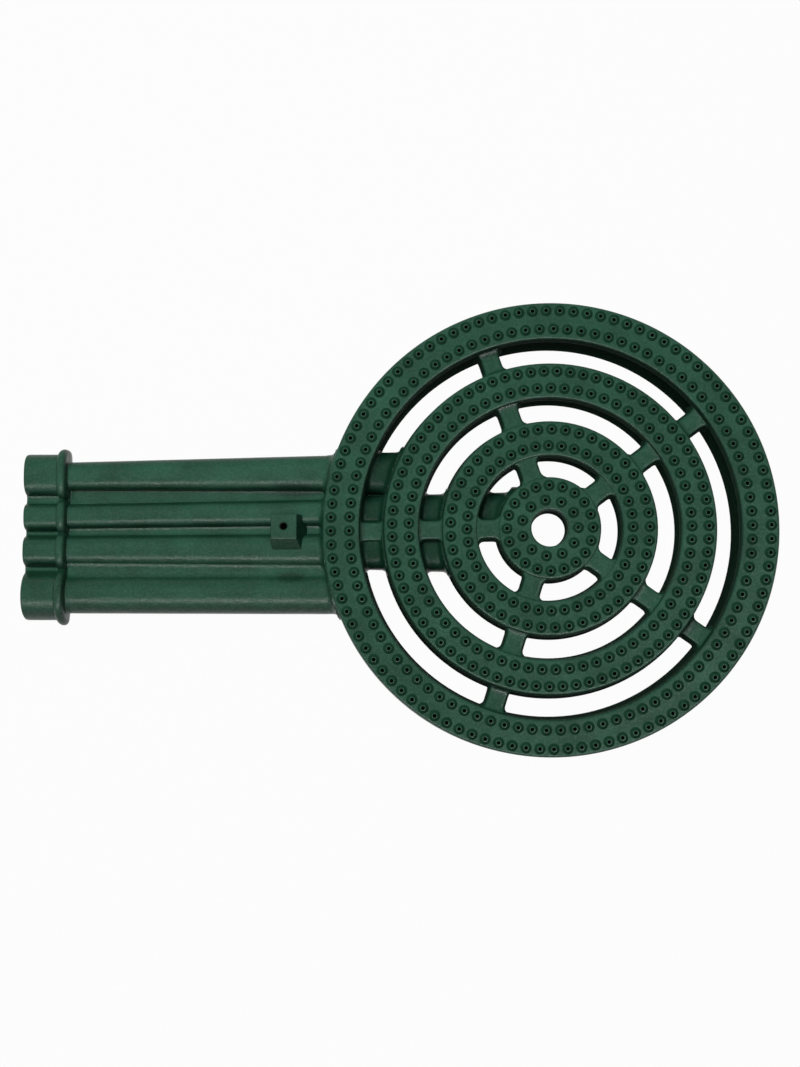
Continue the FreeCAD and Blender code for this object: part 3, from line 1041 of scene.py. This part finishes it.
def makeWashers(ring):
    high = -ring["height"] + trough["pocketDepth"]
    low = high - fixing["washerThickness"]
    hole = fixing["screwR"] + fixing["clearance"]
    bm = bmesh.new()
    for place in screwPlaces(ring):
        one = bmesh.new()
        turnedChain(one, [(hole, low), (fixing["washerR"], low), (fixing["washerR"], high), (hole, high)],
                    0, 2 * math.pi, fixing["washerSides"], closed=True)
        mergeDoubles(one)
        roundEdges(one, edgesOnCircle(one, fixing["washerR"], low), fixing["washerEase"], 1)
        bmesh.ops.translate(one, verts=one.verts, vec=place)
        addTo(bm, one)
    return finishPiece(bm, ring["name"] + "RingWashers", ring["name"] + "_ring_washers", [zinc], 30)


for ring in rings:
    makeScrews(ring)
    makeWashers(ring)
print("fixings made")

# Studio: pale floor, one soft key from the upper left, and a strip and a panel that only shine in gloss

studio = {
    "floor": "#A9A9A7",
    "floorRoughness": 0.9,
    "floorZ": -44.05,
    "floorReach": 4.0,       # metres to each side
    "floorGlow": 0.97,       # share of plain white that the camera sees, the rest takes the shadow
    "worldStrength": 0.05,
    # place and aim in metres, size across and along, watts, and what it shows on; only the key lights
    # matt surfaces, the strip gives the line highlights and the panel a sheen at the lower right
    "lamps": {
        "glossStrip": ((-0.1, -0.96, 1.15), (-0.1, 0.0, 0.0), (1.9, 0.04), 19.0, "gloss"),
        "glossPanel": ((0.65, -0.42, 1.3), (0.1, -0.1, 0.0), (0.5, 0.5), 5.0, "gloss"),
        "softKey": ((-0.4, 0.4, 1.4), (-0.05, 0.0, 0.0), (0.9, 0.8), 16.8, "matt"),
    },
}


def seenDirectly(tree):
    # 1 for rays from the camera and for those that mirror or pass through, 0 for the light on the object
    path = addNode(tree, "ShaderNodeLightPath")
    shiny = addNode(tree, "ShaderNodeMath", {"operation": "MAXIMUM"},
                    {0: path.outputs["Is Glossy Ray"], 1: path.outputs["Is Transmission Ray"]})
    seen = addNode(tree, "ShaderNodeMath", {"operation": "MAXIMUM"},
                   {0: path.outputs["Is Camera Ray"], 1: shiny.outputs[0]})
    return seen.outputs[0]


def makeFloor():
    bm = bmesh.new()
    bmesh.ops.create_grid(bm, x_segments=1, y_segments=1, size=studio["floorReach"],
                          matrix=Matrix.Translation((0, 0, studio["floorZ"] * mm)))
    mesh = bpy.data.meshes.new("studioFloor")
    bm.to_mesh(mesh)
    bm.free()
    # Matt white paper sweep: kept near white to the camera, and still takes the part's soft shadow
    material, tree, shader = newMaterial("mattPaperSweep")
    shader.inputs["Base Color"].default_value = linear(studio["floor"])
    shader.inputs["Roughness"].default_value = studio["floorRoughness"]
    glow = addNode(tree, "ShaderNodeEmission", {"Color": (1, 1, 1, 1), "Strength": 1.0})
    share = addNode(tree, "ShaderNodeMath", {"operation": "MULTIPLY", 1: studio["floorGlow"]},
                    {0: seenDirectly(tree)})
    mix = addNode(tree, "ShaderNodeMixShader", links={0: share.outputs[0], 1: shader.outputs[0],
                                                      2: glow.outputs[0]})
    out = next(n for n in tree.nodes if n.type == "OUTPUT_MATERIAL")
    tree.links.new(mix.outputs[0], out.inputs["Surface"])
    mesh.materials.append(material)
    floor = bpy.data.objects.new("studioFloor", mesh)
    bpy.context.scene.collection.objects.link(floor)


def areaLamp(name, place, target, size, power, shows):
    data = bpy.data.lights.new(name, "AREA")
    data.shape = "RECTANGLE"
    data.size, data.size_y = size
    data.energy = power
    lamp = bpy.data.objects.new(name, data)
    lamp.location = place
    lamp.rotation_euler = (Vector(target) - Vector(place)).to_track_quat("-Z", "Y").to_euler()
    lamp.visible_glossy = shows == "gloss"
    lamp.visible_diffuse = shows == "matt"
    bpy.context.scene.collection.objects.link(lamp)


makeFloor()
for name, lampValues in studio["lamps"].items():
    areaLamp(name, *lampValues)
world = bpy.data.worlds.new("studioAir")
world.use_nodes = True
air = world.node_tree.nodes["Background"]
air.inputs["Color"].default_value = (1, 1, 1, 1)
airLevel = addNode(world.node_tree, "ShaderNodeMapRange",
                   {"To Min": studio["worldStrength"], "To Max": 1.0},
                   {"Value": seenDirectly(world.node_tree)})
world.node_tree.links.new(airLevel.outputs[0], air.inputs["Strength"])
bpy.context.scene.world = world
bpy.context.scene.view_settings.view_transform = "Standard"
print("studio made")

# Camera: fitted to the port rows and ring edges of the photograph

view = {
    "place": (-61.07, -68.61, 1000.0),
    "tilt": (-0.0649, -0.0371),
    "focal": 1525.9,          # in pixels of the picture, which is 1067 along its longer side
    "longSide": 1067,
    "sensor": 36,
}
cameraData = bpy.data.cameras.new("photoCamera")
cameraData.lens = view["focal"] * view["sensor"] / view["longSide"]
cameraData.sensor_width = view["sensor"]
camera = bpy.data.objects.new("photoCamera", cameraData)
turn = Matrix.Rotation(view["tilt"][1], 3, "Y") @ Matrix.Rotation(view["tilt"][0], 3, "X")
camera.rotation_euler = turn.transposed().to_euler()
camera.location = Vector(view["place"]) * mm
bpy.context.scene.collection.objects.link(camera)
bpy.context.scene.camera = camera
print("camera placed")
